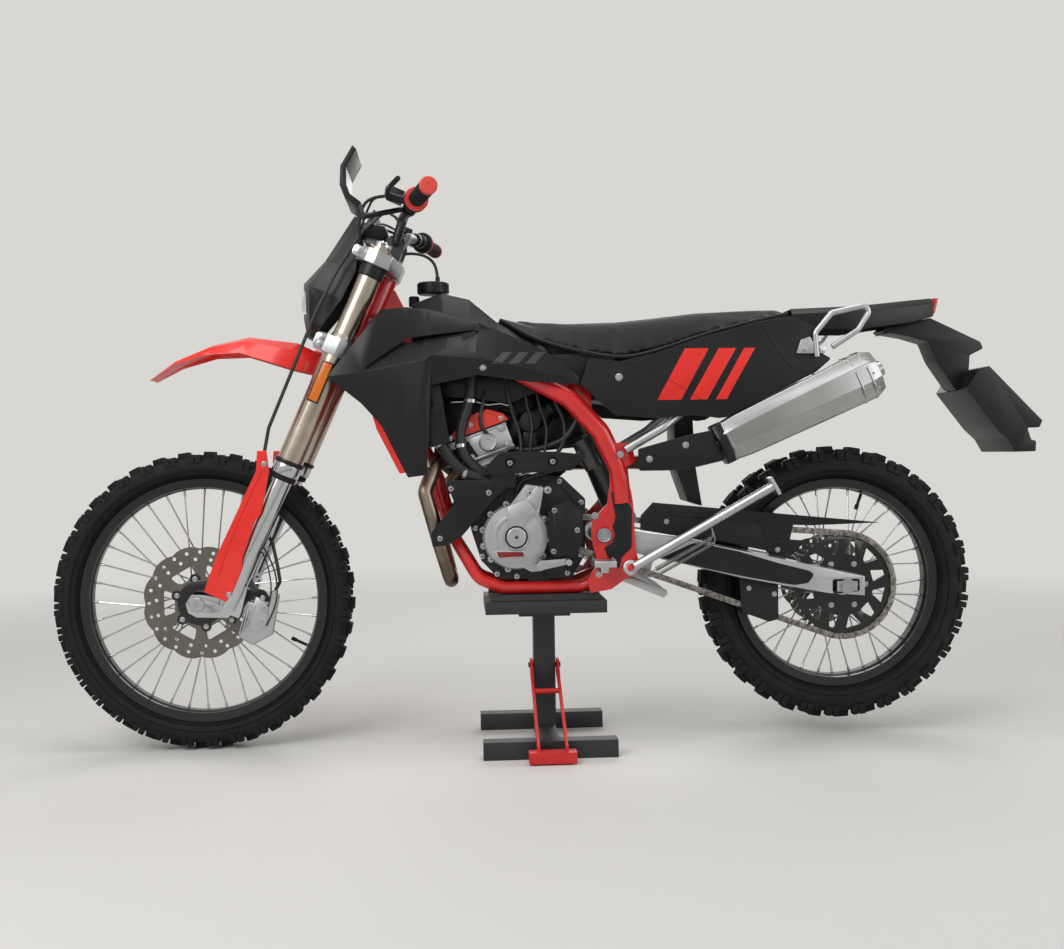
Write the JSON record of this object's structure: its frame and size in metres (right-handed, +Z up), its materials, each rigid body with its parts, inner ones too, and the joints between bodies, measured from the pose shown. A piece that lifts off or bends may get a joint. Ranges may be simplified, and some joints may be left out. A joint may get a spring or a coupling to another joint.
{
  "type": "scrambler motorcycle on a lift stand",
  "caption": "Light off-road motorcycle with long-travel fork, knobbly wire-spoked wheels, slim bodywork and a high muffler, held upright by a small lift stand under its engine.",
  "frame": {"origin": "on the floor, under the middle of the whole object's box", "axes": "+X forward, +Y to the rider's left, +Z up"},
  "size_m": [2.3167, 0.8234, 1.3053],
  "materials": {
    "alloy": "satin cast",
    "bar_grey": "anodised",
    "black_plastic": "moulded",
    "case_alloy": "cast",
    "case_dark": "dark cast",
    "chain_steel": "oiled steel",
    "cover_red": "satin paint",
    "disc_steel": "ground",
    "fork_chrome": "hard chrome",
    "fork_gold": "champagne anodised",
    "frame_red": "gloss powder coat",
    "hose_black": "satin",
    "lamp_red": "red lens",
    "lens_clear": "clear",
    "muffler_steel": "brushed",
    "pipe_steel": "heat tinted",
    "red_plastic": "moulded",
    "rim_black": "black anodised",
    "rubber_black": "matt",
    "seat_cover": "grained cover",
    "spoke_steel": "bright wire",
    "spring_steel": "coated",
    "sprocket_black": "black anodised",
    "stand_alloy": "cast",
    "stand_black": "powder coat",
    "stand_red": "powder coat",
    "tyre": "matt knobbly rubber"
  },
  "bodies": {
    "front_wheel": {"front_tyre": "tyre", "front_rim": "rim_black", "front_hub": "spoke_steel", "front_disc": "disc_steel"},
    "rear_wheel": {"rear_tyre": "tyre", "rear_rim": "rim_black", "rear_hub": "spoke_steel", "rear_disc": "disc_steel", "rear_sprocket": "sprocket_black"},
    "side_stand": {"side_stand": "stand_alloy"},
    "steering": {"fork_tubes": "fork_gold", "fork_legs": "fork_chrome", "triple_clamps": "alloy", "handlebar": "bar_grey", "grips": "rubber_black", "hand_controls": "black_plastic", "handguards": "black_plastic", "headlamp_mask": "black_plastic", "headlamp_lens": "lens_clear", "front_fender": "red_plastic", "fork_guards": "red_plastic", "front_caliper": "alloy", "front_axle": "spoke_steel", "brake_hose": "hose_black"},
    "root": {"chain": "chain_steel", "main_frame": "frame_red", "subframe": "alloy", "engine_cases": "case_dark", "engine_covers": "case_alloy", "sprocket_guard": "black_plastic", "cylinder": "case_alloy", "valve_cover": "cover_red", "engine_guards": "black_plastic", "exhaust_pipe": "pipe_steel", "exhaust_shield": "black_plastic", "muffler": "muffler_steel", "seat": "seat_cover", "fuel_tank": "black_plastic", "fuel_cap": "black_plastic", "shrouds": "black_plastic", "side_panels": "black_plastic", "radiators": "alloy", "radiator_guards": "red_plastic", "airbox": "black_plastic", "rear_fender": "black_plastic", "tail_lamp": "lamp_red", "plate_holder": "black_plastic", "grab_handles": "alloy", "swingarm": "alloy", "pivot_bolt": "spoke_steel", "rear_axle": "spoke_steel", "chain_guards": "black_plastic", "shock": "spring_steel", "linkage": "stand_alloy", "throttle_body": "case_dark", "footpegs": "stand_alloy", "foot_levers": "alloy", "rear_caliper": "alloy", "lift_stand": "stand_black", "stand_lever": "stand_red"}
  },
  "joints": [
    {"name": "steering_turn", "type": "hinge", "parent": "root", "child": "steering", "pos_m": [0.73176, 0, 0.30996], "axis": [-0.4083, 0, 0.9128], "range_deg": [-40, 40]},
    {"name": "front_wheel_spin", "type": "hinge", "parent": "steering", "child": "front_wheel", "pos_m": [0.813, 0, 0.3463], "axis": [0, 1, 0], "continuous": true},
    {"name": "rear_wheel_spin", "type": "hinge", "parent": "root", "child": "rear_wheel", "pos_m": [-0.677, 0, 0.359], "axis": [0, 1, 0], "continuous": true},
    {"name": "side_stand_fold", "type": "hinge", "parent": "root", "child": "side_stand", "pos_m": [-0.17, 0.126, 0.412], "axis": [-0.1008, -0.9781, -0.1818], "range_deg": [0, 115]}
  ]
}
